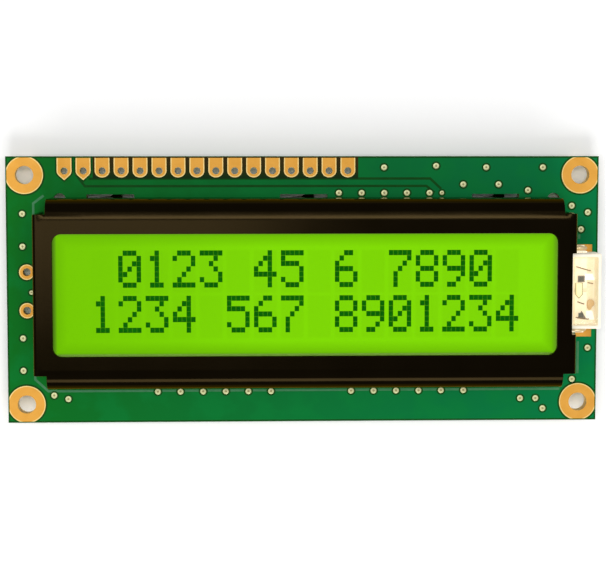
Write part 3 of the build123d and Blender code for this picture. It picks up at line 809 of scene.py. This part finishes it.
# Display glass: two plates of thin soda-lime glass, scribed and broken to size, with clear electrodes. The
# broken edges shine; the faces are bonded to film or crystal, so that nothing mirrors there.
display_glass, tree = new_material("clear soda-lime glass")
spot = add(tree, "TexCoord")
ripple = add(tree, "TexNoise", {"Vector": spot.outputs["Object"], "Scale": per(20.0), "Detail": 1.0})
rough = add(tree, "MapRange", {"Value": ripple, "To Min": 0.02, "To Max": 0.06})
through = add(tree, "BsdfTransparent", {"Color": linear("#ffffff")})
shine = add(tree, "BsdfGlossy", {"Color": linear("#dcf0d4"), "Roughness": rough})
upright = add(tree, "SeparateXYZ", {"Vector": spot.outputs["Normal"]})
level = add(tree, "Math", {0: upright.outputs["Z"]}, operation="ABSOLUTE")
edge = add(tree, "MapRange", {"Value": level, "From Min": 0.5, "From Max": 0.4, "To Max": 0.25})
blend = add(tree, "MixShader", {0: edge, 1: through, 2: shine})
add(tree, "OutputMaterial", {"Surface": blend})
dress("rear_glass", display_glass)
dress("front_glass", display_glass)


# Polarisers: stretched plastic film, bonded to the outer faces of the glass. The front is faintly hazed
# against glare.
polariser, tree = new_material("hazed polariser film")
place = add(tree, "TexCoord").outputs["Object"]
haze = add(tree, "TexNoise", {"Vector": place, "Scale": per(0.6), "Detail": 2.0})
rough = add(tree, "MapRange", {"Value": haze, "To Min": 0.2, "To Max": 0.3})
through = add(tree, "BsdfTransparent", {"Color": linear("#fdfefa")})
shine = add(tree, "BsdfGlossy", {"Color": linear("#f6f8ee"), "Roughness": rough})
grazing = add(tree, "Fresnel", {"IOR": 1.04})
bonded = add(tree, "NewGeometry").outputs["Backfacing"]
free = add(tree, "Math", {0: 1.0, 1: bonded}, operation="SUBTRACT")
gloss = add(tree, "Math", {0: grazing, 1: free}, operation="MULTIPLY")
blend = add(tree, "MixShader", {0: gloss, 1: through, 2: shine})
add(tree, "OutputMaterial", {"Surface": blend})
dress("rear_polariser", polariser)
dress("front_polariser", polariser)


# Cell seal and plug: a printed line of epoxy joins the two glasses, and a drop of the same resin shuts the
# port that the cell was filled through. Both are the crystal's yellow-green with a faint painted glow, which
# lifts the shade at the window's edge.
seal_epoxy = mottled("cured sealing epoxy with painted glow", 0.5, 2.0, "#76a52c", "#86b240",
                     {"Roughness": 0.5, "IOR": 1.55, "Emission Strength": 0.3})
dress("cell_seal", seal_epoxy)
dress("fill_port_plug", seal_epoxy)


# Liquid crystal: the lit layer seen through the window, an even yellow-green with painted shade that darkens
# it towards the window's edge, most at the left. Each character's block of unlit dots is a shade darker than
# the gaps between the blocks.
WINDOW_X, WINDOW_Y = 33.0, 8.0
DIM_REACH, SHADE_OUT, SHADE_IN = 1.8, 0.3, 0.4
CELLS = 16
CELL_PITCH, LINE_PITCH = 3.55, 5.95
DOT_PITCH_X, DOT_PITCH_Y = 0.60, 0.70
TOP_DOT_Y = 5.425
BLOCK_X, BLOCK_Y = 5 * DOT_PITCH_X, 8 * DOT_PITCH_Y
block_middle = TOP_DOT_Y + DOT_PITCH_Y / 2 - BLOCK_Y / 2

lit_crystal, tree = new_material("yellow-green liquid crystal layer")
place = add(tree, "TexCoord").outputs["Object"]
axes = add(tree, "SeparateXYZ", {"Vector": place})
along = add(tree, "MapRange", {"Value": axes.outputs["X"], "From Min": -WINDOW_X * MM, "From Max": -5 * MM})
field = add(tree, "MixRGB", {"Fac": along, "Color1": linear("#73c303"), "Color2": linear("#7fd706")})
cell = add(tree, "Math", {0: axes.outputs["X"], 1: per(CELL_PITCH)}, operation="MULTIPLY")
cell_part = add(tree, "Math", {0: cell}, operation="FRACT")
cell_off = add(tree, "Math", {0: cell_part, 1: 0.5}, operation="SUBTRACT")
cell_far = add(tree, "Math", {0: cell_off}, operation="ABSOLUTE")
in_cell = add(tree, "MapRange", {"Value": cell_far, "From Min": BLOCK_X / CELL_PITCH / 2 + 0.03,
                                 "From Max": BLOCK_X / CELL_PITCH / 2 - 0.03})
drop = add(tree, "Math", {0: axes.outputs["Y"], 1: (block_middle - LINE_PITCH / 2) * MM},
           operation="SUBTRACT")
rise = add(tree, "Math", {0: drop}, operation="ABSOLUTE")
line_off = add(tree, "Math", {0: rise, 1: LINE_PITCH / 2 * MM}, operation="SUBTRACT")
line_far = add(tree, "Math", {0: line_off}, operation="ABSOLUTE")
in_line = add(tree, "MapRange", {"Value": line_far, "From Min": (BLOCK_Y / 2 + 0.1) * MM,
                                 "From Max": (BLOCK_Y / 2 - 0.1) * MM})
in_row = add(tree, "Math", {0: axes.outputs["X"]}, operation="ABSOLUTE")
in_row = add(tree, "Math", {0: in_row, 1: CELLS / 2 * CELL_PITCH * MM}, operation="LESS_THAN")
in_block = add(tree, "Math", {0: in_cell, 1: in_line}, operation="MULTIPLY")
in_block = add(tree, "Math", {0: in_block, 1: in_row}, operation="MULTIPLY")
weak = add(tree, "Math", {0: in_block, 1: 0.22}, operation="MULTIPLY")
blocks = add(tree, "MixRGB", {"Fac": weak, "Color1": field, "Color2": linear("#6fbf04")})
# Painted shade: the crystal darkens within DIM_REACH of the window's edge, more at the rim itself and most at
# the left edge, as the bezel would shade it.
edge_x = add(tree, "Math", {0: axes.outputs["X"]}, operation="ABSOLUTE")
edge_y = add(tree, "Math", {0: axes.outputs["Y"]}, operation="ABSOLUTE")
to_x = add(tree, "Math", {0: WINDOW_X * MM, 1: edge_x}, operation="SUBTRACT")
to_y = add(tree, "Math", {0: WINDOW_Y * MM, 1: edge_y}, operation="SUBTRACT")
to_edge = add(tree, "Math", {0: to_x, 1: to_y}, operation="MINIMUM")
far = add(tree, "MapRange", {"Value": to_edge, "From Max": DIM_REACH * MM})
bezel_shade = add(tree, "MixRGB", {"Fac": far, "Color1": linear("#68b404"), "Color2": blocks})
edge_shadow = add(tree, "MapRange", {"Value": to_edge, "From Min": -SHADE_OUT * MM, "From Max": SHADE_IN * MM})
glow = add(tree, "MixRGB", {"Fac": edge_shadow, "Color1": linear("#5c8a20"), "Color2": bezel_shade})
left_shadow = add(tree, "MapRange", {"Value": axes.outputs["X"], "From Min": -(WINDOW_X + SHADE_OUT) * MM,
                              "From Max": -(WINDOW_X - SHADE_IN) * MM})
glow = add(tree, "MixRGB", {"Fac": left_shadow, "Color1": linear("#304c14"), "Color2": glow})
cloud = add(tree, "TexNoise", {"Vector": place, "Scale": per(16.0), "Detail": 1.0})
smudge = add(tree, "MapRange", {"Value": cloud, "From Min": 0.3, "From Max": 0.7, "To Max": 0.08})
uneven = add(tree, "MixRGB", {"Fac": smudge, "Color1": glow, "Color2": linear("#8bdc14")})
surface = add(tree, "BsdfPrincipled", {"Base Color": linear("#040801"), "Roughness": 0.6,
                                       "Specular IOR Level": 0.0, "Emission Color": uneven,
                                       "Emission Strength": 1.06})
add(tree, "OutputMaterial", {"Surface": surface})
dress("liquid_crystal", lit_crystal)


# Lit dots: where a voltage turns the crystal, square dots block the light and stand dark green. Two lines
# of plain numerals show how the module is used.
DOT_X, DOT_Y = 0.58, 0.68
DOT_THICK = 0.02
LINES = " 0123 45 6 7890 ", "1234 567 8901234"
NUMERALS = {
    "0": (".###.", "#...#", "#..##", "#.#.#", "##..#", "#...#", ".###."),
    "1": ("..#..", ".##..", "..#..", "..#..", "..#..", "..#..", ".###."),
    "2": (".###.", "#...#", "....#", "...#.", "..#..", ".#...", "#####"),
    "3": ("#####", "...#.", "..#..", "...#.", "....#", "#...#", ".###."),
    "4": ("...#.", "..##.", ".#.#.", "#..#.", "#####", "...#.", "...#."),
    "5": ("#####", "#....", "####.", "....#", "....#", "#...#", ".###."),
    "6": ("..##.", ".#...", "#....", "####.", "#...#", "#...#", ".###."),
    "7": ("#####", "....#", "...#.", "..#..", ".#...", ".#...", ".#..."),
    "8": (".###.", "#...#", "#...#", ".###.", "#...#", "#...#", ".###."),
    "9": (".###.", "#...#", "#...#", ".####", "....#", "...#.", ".##.."),
}
crystal_top = box("liquid_crystal")[1].z

dark_crystal = mottled("darkened liquid crystal", 1.5, 2.0, "#064a04", "#0e6008",
                       {"Roughness": 0.6, "Specular IOR Level": 0.0, "Emission Strength": 0.2})

bm = bmesh.new()
for line, text in enumerate(LINES):
    for cell, numeral in enumerate(text):
        for row, marks in enumerate(NUMERALS.get(numeral, ())):
            for column, mark in enumerate(marks):
                if mark == "#":
                    x = (cell - (CELLS - 1) / 2) * CELL_PITCH + (column - 2) * DOT_PITCH_X
                    y = TOP_DOT_Y - row * DOT_PITCH_Y - line * LINE_PITCH
                    block(bm, (x - DOT_X / 2, y - DOT_Y / 2, crystal_top - DOT_THICK / 2),
                          (x + DOT_X / 2, y + DOT_Y / 2, crystal_top + DOT_THICK / 2))
lit_dots = as_piece("lit_dots", bm, dark_crystal)
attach(lit_dots, "root")


# Bezel: one sheet of steel, blanked with its window and a notch for the lamp, folded down on four sides
# with open corners, and coated black. Tabs pass through slots in the board and are turned behind it.
SHEET = 0.5
BEND_X, BEND_Y = 0.6, 1.95
BEZEL_HEIGHT = 25.0
CROWN, CROWN_DROP = 0.45, 0.09
FLAT_LIP, CORNER_CUT, WALL_END = 0.4, 0.6, 33.9
BEND_STEPS = 10
WINDOW_CORNER = 1.2
TAB_WIDTH = 3.0
TAB_NECK, TAB_TWIST = -1.7, 40
TWIST_STEPS, TWIST_SHARE = 6, 0.1
SHEET_EDGE = 0.06
LAMP_GAP = 5.35
bezel_low, bezel_high = box("bezel")
wall_x, wall_y = bezel_high.x, BEZEL_HEIGHT / 2
face_x, face_y = wall_x - BEND_X, wall_y - BEND_Y
crown_x, crown_y = face_x - CROWN, face_y - CROWN
face_z, rim_z = bezel_high.z, bezel_high.z - CROWN_DROP
tab_places = (-26.0, 0.0, 26.0)
tab_y = wall_y - SHEET / 2

black_coat, tree = new_material("black coated steel sheet")
place = add(tree, "TexCoord").outputs["Object"]
orange_peel = add(tree, "TexNoise", {"Vector": place, "Scale": per(0.25), "Detail": 2.0})
patches = add(tree, "TexNoise", {"Vector": place, "Scale": per(6.0), "Detail": 2.0})
tone = add(tree, "MixRGB", {"Fac": patches, "Color1": linear("#151006"), "Color2": linear("#191309")})
rough = add(tree, "MapRange", {"Value": patches, "To Min": 0.13, "To Max": 0.17})
relief = add(tree, "Bump", {"Height": orange_peel, "Strength": 0.04, "Distance": 0.02 * MM})
surface = add(tree, "BsdfPrincipled", {"Base Color": tone, "Metallic": 1.0,
                                       "Roughness": rough, "Specular Tint": linear("#d8ccaa"),
                                       "Normal": relief})
add(tree, "OutputMaterial", {"Surface": surface})


def flat_rim(bm, half_x, half_y, level):
    """A flat rectangle round the middle; returns its corners."""
    place = Matrix.Translation((0, 0, level)) @ Matrix.Diagonal((half_x, half_y, 1, 1))
    return bmesh.ops.create_grid(bm, x_segments=1, y_segments=1, size=1.0, matrix=place)["verts"]


def rim_edges(bm, half_x, half_y, level):
    """The edges that lie on such a rectangle."""
    return [e for e in bm.edges
            if all(abs(v.co.z - level) < 0.001
                   and abs(max(abs(v.co.x) - half_x, abs(v.co.y) - half_y)) < 0.001 for v in e.verts)]


def pull(bm, edges, move):
    """Extrudes a row of edges along a straight line and returns the new row."""
    grown = bmesh.ops.extrude_edge_only(bm, edges=edges)["geom"]
    verts = [v for v in grown if isinstance(v, bmesh.types.BMVert)]
    bmesh.ops.translate(bm, vec=move, verts=verts)
    return [e for e in grown if isinstance(e, bmesh.types.BMEdge) and all(v in verts for v in e.verts)]


bm = bmesh.new()
corners = flat_rim(bm, WINDOW_X, WINDOW_Y, face_z)
bmesh.ops.bevel(bm, geom=corners, offset=WINDOW_CORNER, offset_type="OFFSET", segments=8, profile=0.5,
                affect="VERTICES", material=-1)
rims = ((crown_x - FLAT_LIP, crown_y - FLAT_LIP, face_z), (crown_x, crown_y, face_z), (face_x, face_y, rim_z))
for rim in rims:
    flat_rim(bm, *rim)
bmesh.ops.delete(bm, geom=bm.faces[:], context="FACES_ONLY")
cuts = [(Vector((1, 0, 0)), x + side * TAB_WIDTH / 2) for x in tab_places for side in (-1, 1)]
cuts += [(Vector((1, 0, 0)), side * x) for x in (WALL_END, crown_x - CORNER_CUT) for side in (-1, 1)]
cuts += [(Vector((0, 1, 0)), side * y) for y in (LAMP_GAP, crown_y - CORNER_CUT) for side in (-1, 1)]
for axis, reach in cuts:
    edges = [e for rim in rims for e in rim_edges(bm, *rim)]
    bmesh.ops.bisect_plane(bm, geom=edges + list({v for e in edges for v in e.verts}), dist=0.0001,
                           plane_co=axis * reach, plane_no=axis)
lip, crown, outer = [rim_edges(bm, *rim) for rim in rims]
window = set(bm.edges) - {*lip, *crown, *outer}
bmesh.ops.triangle_fill(bm, edges=[*window, *lip], use_beauty=True)
bmesh.ops.triangle_fill(bm, edges=lip + crown, use_beauty=True)
bmesh.ops.bridge_loops(bm, edges=crown + outer)
for axis, sign in (("x", -1), ("x", 1), ("y", -1), ("y", 1)):
    reach = face_x if axis == "x" else face_y
    bend_z = rim_z - (BEND_X if axis == "x" else BEND_Y)
    notch = LAMP_GAP if (axis, sign) == ("x", 1) else 0
    row = [e for e in bm.edges if e.is_boundary and all(abs(getattr(v.co, axis) - sign * reach) < 0.001
                                                        and v.co.z > rim_z - 0.001
                                                        and (axis == "x" or abs(v.co.x) < WALL_END + 0.001)
                                                        for v in e.verts)
           and max(abs(v.co.y) for v in e.verts) > notch + 0.001]
    centre = Vector((sign * reach, 0, bend_z)) if axis == "x" else Vector((0, sign * reach, bend_z))
    hinge = (0, sign, 0) if axis == "x" else (-sign, 0, 0)
    folded = bmesh.ops.spin(bm, geom=row + list({v for e in row for v in e.verts}), cent=centre, axis=hinge,
                            angle=math.pi / 2, steps=BEND_STEPS)["geom_last"]
    row = [e for e in folded if isinstance(e, bmesh.types.BMEdge)]
    row = pull(bm, row, (0, 0, FRONT - bend_z))
    if axis == "x":
        continue
    for x in tab_places:
        tab = [e for e in row if all(abs(v.co.x - x) < TAB_WIDTH / 2 + 0.001 for v in e.verts)]
        tab = pull(bm, tab, (0, 0, TAB_NECK - FRONT))
        for step in range(TWIST_STEPS):
            tab = pull(bm, tab, (0, 0, (bezel_low.z - TAB_NECK) * TWIST_SHARE))
            bmesh.ops.rotate(bm, cent=(x, sign * tab_y, 0), verts=list({v for e in tab for v in e.verts}),
                             matrix=Matrix.Rotation(math.radians(TAB_TWIST / TWIST_STEPS), 3, "Z"))
        pull(bm, tab, (0, 0, (bezel_low.z - TAB_NECK) * (1 - TWIST_SHARE * TWIST_STEPS)))
bmesh.ops.remove_doubles(bm, verts=bm.verts, dist=0.0005)
bmesh.ops.recalc_face_normals(bm, faces=bm.faces)
if max(bm.faces, key=lambda face: face.calc_center_median().z).normal.z < 0:
    bmesh.ops.reverse_faces(bm, faces=bm.faces)
bmesh.ops.solidify(bm, geom=bm.faces[:], thickness=SHEET)
soften(bm, SHEET_EDGE)
folded_bezel = as_piece("folded_bezel", bm, black_coat, crease=20)
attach(folded_bezel, "root")
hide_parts("bezel")


# Glob tops: black epoxy, dropped over the two chips on the back, flowed out and was cured as smooth flat
# domes.
GLOB_RINGS = 7
black_epoxy, tree = new_material("cured black epoxy")
place = add(tree, "TexCoord").outputs["Object"]
flow = add(tree, "TexNoise", {"Vector": place, "Scale": per(2.5), "Detail": 2.0})
rough = add(tree, "MapRange", {"Value": flow, "To Min": 0.22, "To Max": 0.36})
relief = add(tree, "Bump", {"Height": flow, "Strength": 0.15, "Distance": 0.1 * MM})
surface = add(tree, "BsdfPrincipled", {"Base Color": linear("#111113"), "Roughness": rough,
                                       "IOR": 1.55, "Specular IOR Level": 0.25,
                                       "Normal": relief})
add(tree, "OutputMaterial", {"Surface": surface})

globs = []
for name in ("controller_glob_top", "driver_glob_top"):
    glob_low, glob_high = box(name)
    globs.append((glob_low + glob_high) / 2)
    glob_radius, height = (glob_high.x - glob_low.x) / 2, glob_high.z - glob_low.z
    profile = [(0, glob_high.z)]
    for tier in range(GLOB_RINGS + 1):
        lean = math.pi / 2 * tier / GLOB_RINGS
        profile.append((glob_radius * math.cos(lean), glob_high.z - height * math.sin(lean) ** 0.8))
    bm = bmesh.new()
    turn(bm, profile, (globs[-1].x, globs[-1].y), 48, closed=False)
    dome = as_piece(name + "_dome", bm, black_epoxy, crease=60)
    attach(dome, "root")
    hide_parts(name)


# Chip parts on the back: resistors of black glazed ceramic and capacitors of brown fired ceramic. All have
# plated ends that stand on tinned pads.
resistor_glaze, tree = new_material("black glazed ceramic")
place = add(tree, "TexCoord").outputs["Object"]
speck = add(tree, "TexNoise", {"Vector": place, "Scale": per(0.3), "Detail": 2.0})
rough = add(tree, "MapRange", {"Value": speck, "To Min": 0.25, "To Max": 0.45})
surface = add(tree, "BsdfPrincipled", {"Base Color": linear("#1c1c1f"), "Roughness": rough})
add(tree, "OutputMaterial", {"Surface": surface})
dress("chip_resistors", resistor_glaze)

fired_ceramic = mottled("brown fired ceramic", 0.25, 2.0, "#b08c62", "#c7a57b", {"Roughness": 0.55})
dress("chip_capacitors", fired_ceramic)
dress("chip_resistor_caps", lead_silver)
dress("chip_capacitor_caps", lead_silver)
dress("chip_pads", tinned)


# Chip solder: tin solder, melted at both ends of every chip, draws up as a small fillet that joins the
# chip to its pads.
CHIP_WIDTH, CHIP_END, CHIP_PAD_END = 1.25, 1.0, 1.5
CHIP_FILLET = 0.27, 0.56, -0.34
chips = {}
for name, count in (("chip_resistors", 5), ("chip_capacitors", 3)):
    low, high = box(name)
    pitch = (high.y - low.y - CHIP_WIDTH) / (count - 1)
    chips[name] = [((low.x + high.x) / 2, high.y - CHIP_WIDTH / 2 - n * pitch) for n in range(count)]

bm = bmesh.new()
for x, y in chips["chip_resistors"] + chips["chip_capacitors"]:
    for side in (-1, 1):
        mound(bm, (x + side * (CHIP_END + CHIP_PAD_END) / 2, y, BACK - PAD_RISE), *CHIP_FILLET)
chip_solder = as_piece("chip_solder", bm, solder, crease=60)
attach(chip_solder, "root")


# Back lines: copper under the mask joins the header, the two chips under the domes, the via rows and the
# small chips. The photograph doesn't show the back, so their routes are a usual layout, kept off the slots.
BACK_LINE = 0.26
FAN_PITCH, ROW_PITCH = 0.8, 1.3
controller, driver = globs
past_slots = {2: (13.5, -22.2), 3: (13.9, -21.8), 12: (13.9, -3.8), 13: (13.5, -3.5)}
back_runs = []
for n in range(2, 14):
    x, goal = header_x[n], controller.x + (n - 7.5) * FAN_PITCH
    level, bend = past_slots.get(n, (14.4, x))
    fan = [(x, header_first.y - BACK_RING), (x, level), (bend, level), (goal, 8.0), (goal, 3.0)]
    back_runs.append([spot for spot, ahead in zip(fan, fan[1:] + [None]) if spot != ahead])
for n in range(6):
    bus = controller.y + (n - 2.5) * 0.9
    back_runs.append([(controller.x + 5.7, bus), (driver.x - 5.7, bus)])
    for start, glob in ((-19.8, controller), (6.45, driver)):
        x, goal = start + VIA_PITCH * n, glob.x + (n - 2.5) * ROW_PITCH
        back_runs.append([(x, -13.4), (x, -11.2), (goal, -8.8), (goal, -5.0)])
for n in range(5):
    x, goal = 4.75 + VIA_PITCH * n, driver.x + (n - 2) * ROW_PITCH
    back_runs.append([(x, 12.6), (x, 10.6), (goal, 8.0), (goal, 3.5)])
for n, (x, y) in enumerate(chips["chip_resistors"]):
    goal = controller.y + (2 - n) * ROW_PITCH
    back_runs += [[(x + CHIP_PAD_END, y), (-24.0, y), (-21.0, goal), (-17.5, goal)],
                  [(x - CHIP_PAD_END, y), (-33.4, y)]]
for n, (x, y) in enumerate(chips["chip_capacitors"]):
    goal = driver.y + (1 - n) * ROW_PITCH
    back_runs += [[(x - CHIP_PAD_END, y), (23.6, y), (22.0, goal), (19.5, goal)],
                  [(x + CHIP_PAD_END, y), (29.5, y)]]
back_runs += [[(-33.4, -6.03), (-33.4, 4.6), (-34.7, 5.9), (-37.4, 5.9)],
              [(29.5, -4.43), (29.5, 11.2), (30.4, 12.9)]]

bm = bmesh.new()
for run in back_runs:
    ribbon(bm, run, BACK_LINE, BACK, -GAP_RISE)
back_lines = as_piece("back_lines", bm, covered_copper)
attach(back_lines, "root")


# Back print: white legend ink, screened on the mask as a ring round each dome and a frame round each
# column of chips.
PRINT_RISE, PRINT_WIDTH, PRINT_GAP = 0.02, 0.24, 0.7
FRAME_X, FRAME_Y = 2.2, 1.4
print_bore = glob_radius + PRINT_GAP
legend_ink = mottled("white legend ink", 0.4, 2.0, "#d4d8d0", "#eef0ea", {"Roughness": 0.6})

bm = bmesh.new()
for glob in globs:
    ring(bm, (glob.x, glob.y), print_bore, print_bore + PRINT_WIDTH, BACK - PRINT_RISE, BACK, 72)
for places in chips.values():
    left, right = places[0][0] - FRAME_X, places[0][0] + FRAME_X
    top, bottom = places[0][1] + FRAME_Y, places[-1][1] - FRAME_Y
    middle = (left + right) / 2
    ribbon(bm, [(middle + 0.01, top), (right, top), (right, bottom), (left, bottom), (left, top),
                (middle, top)], PRINT_WIDTH, BACK, -PRINT_RISE)
back_print = as_piece("back_print", bm, legend_ink)
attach(back_print, "root")


# Studio: a pale matt floor under the turned tabs and an even pale sky. A strip lamp stands behind the
# module, a broad softbox in front of it and a narrow one at its left.
FLOOR_REACH, SKY = 3.0, 0.47
floor_paper, tree = new_material("white background paper")
matt = add(tree, "BsdfDiffuse", {"Color": linear("#fefefe")})
add(tree, "OutputMaterial", {"Surface": matt})
bm = bmesh.new()
bmesh.ops.create_grid(bm, x_segments=1, y_segments=1, size=FLOOR_REACH / MM,
                      matrix=Matrix.Translation((0, 0, cad_box[0].z / MM)))
floor = as_piece("floor", bm, floor_paper)

world = bpy.data.worlds.new("studio")
world.use_nodes = True
world.node_tree.nodes["Background"].inputs["Color"].default_value = linear("#ffffff")
world.node_tree.nodes["Background"].inputs["Strength"].default_value = SKY
bpy.context.scene.world = world


def stand(name, data, place, back):
    """A lamp or camera that looks along the reverse of a direction, its width along the display."""
    right = Vector((0, 1, 0)).cross(back).normalized()
    holder = bpy.data.objects.new(name, data)
    turned = Matrix((right, back.cross(right), back)).transposed().to_4x4()
    holder.matrix_world = Matrix.Translation(place) @ turned
    bpy.context.scene.collection.objects.link(holder)
    return holder


LAMP_REACH = 1.0
STUDIO_LAMPS = (("strip lamp", (2, 9.5), (50, 5), 3.3), ("front softbox", (2, -45), (30, 22), 3.9),
                ("left softbox", (-22, -1.9), (46, 5.5), 1.3))
for name, (lean_x, lean_y), spread, power in STUDIO_LAMPS:
    lamp = bpy.data.lights.new(name, "AREA")
    lamp.shape = "RECTANGLE"
    lamp.size, lamp.size_y = (2 * LAMP_REACH * math.tan(math.radians(angle / 2)) for angle in spread)
    lamp.energy = power
    away = Vector((math.tan(math.radians(lean_x)), math.tan(math.radians(lean_y)), 1)).normalized()
    stand(name, lamp, away * LAMP_REACH, away)

EYE = Vector((-9.17, 20.02, 241.0)) * MM
TARGET = Vector((-0.10, 0.27, 0.0)) * MM
camera = bpy.data.cameras.new("camera")
camera.sensor_width = 36.0
camera.lens = 106.13
camera.clip_start = 0.01
bpy.context.scene.camera = stand("camera", camera, EYE, (EYE - TARGET).normalized())
bpy.context.scene.view_settings.view_transform = "Standard"

bpy.context.view_layer.update()
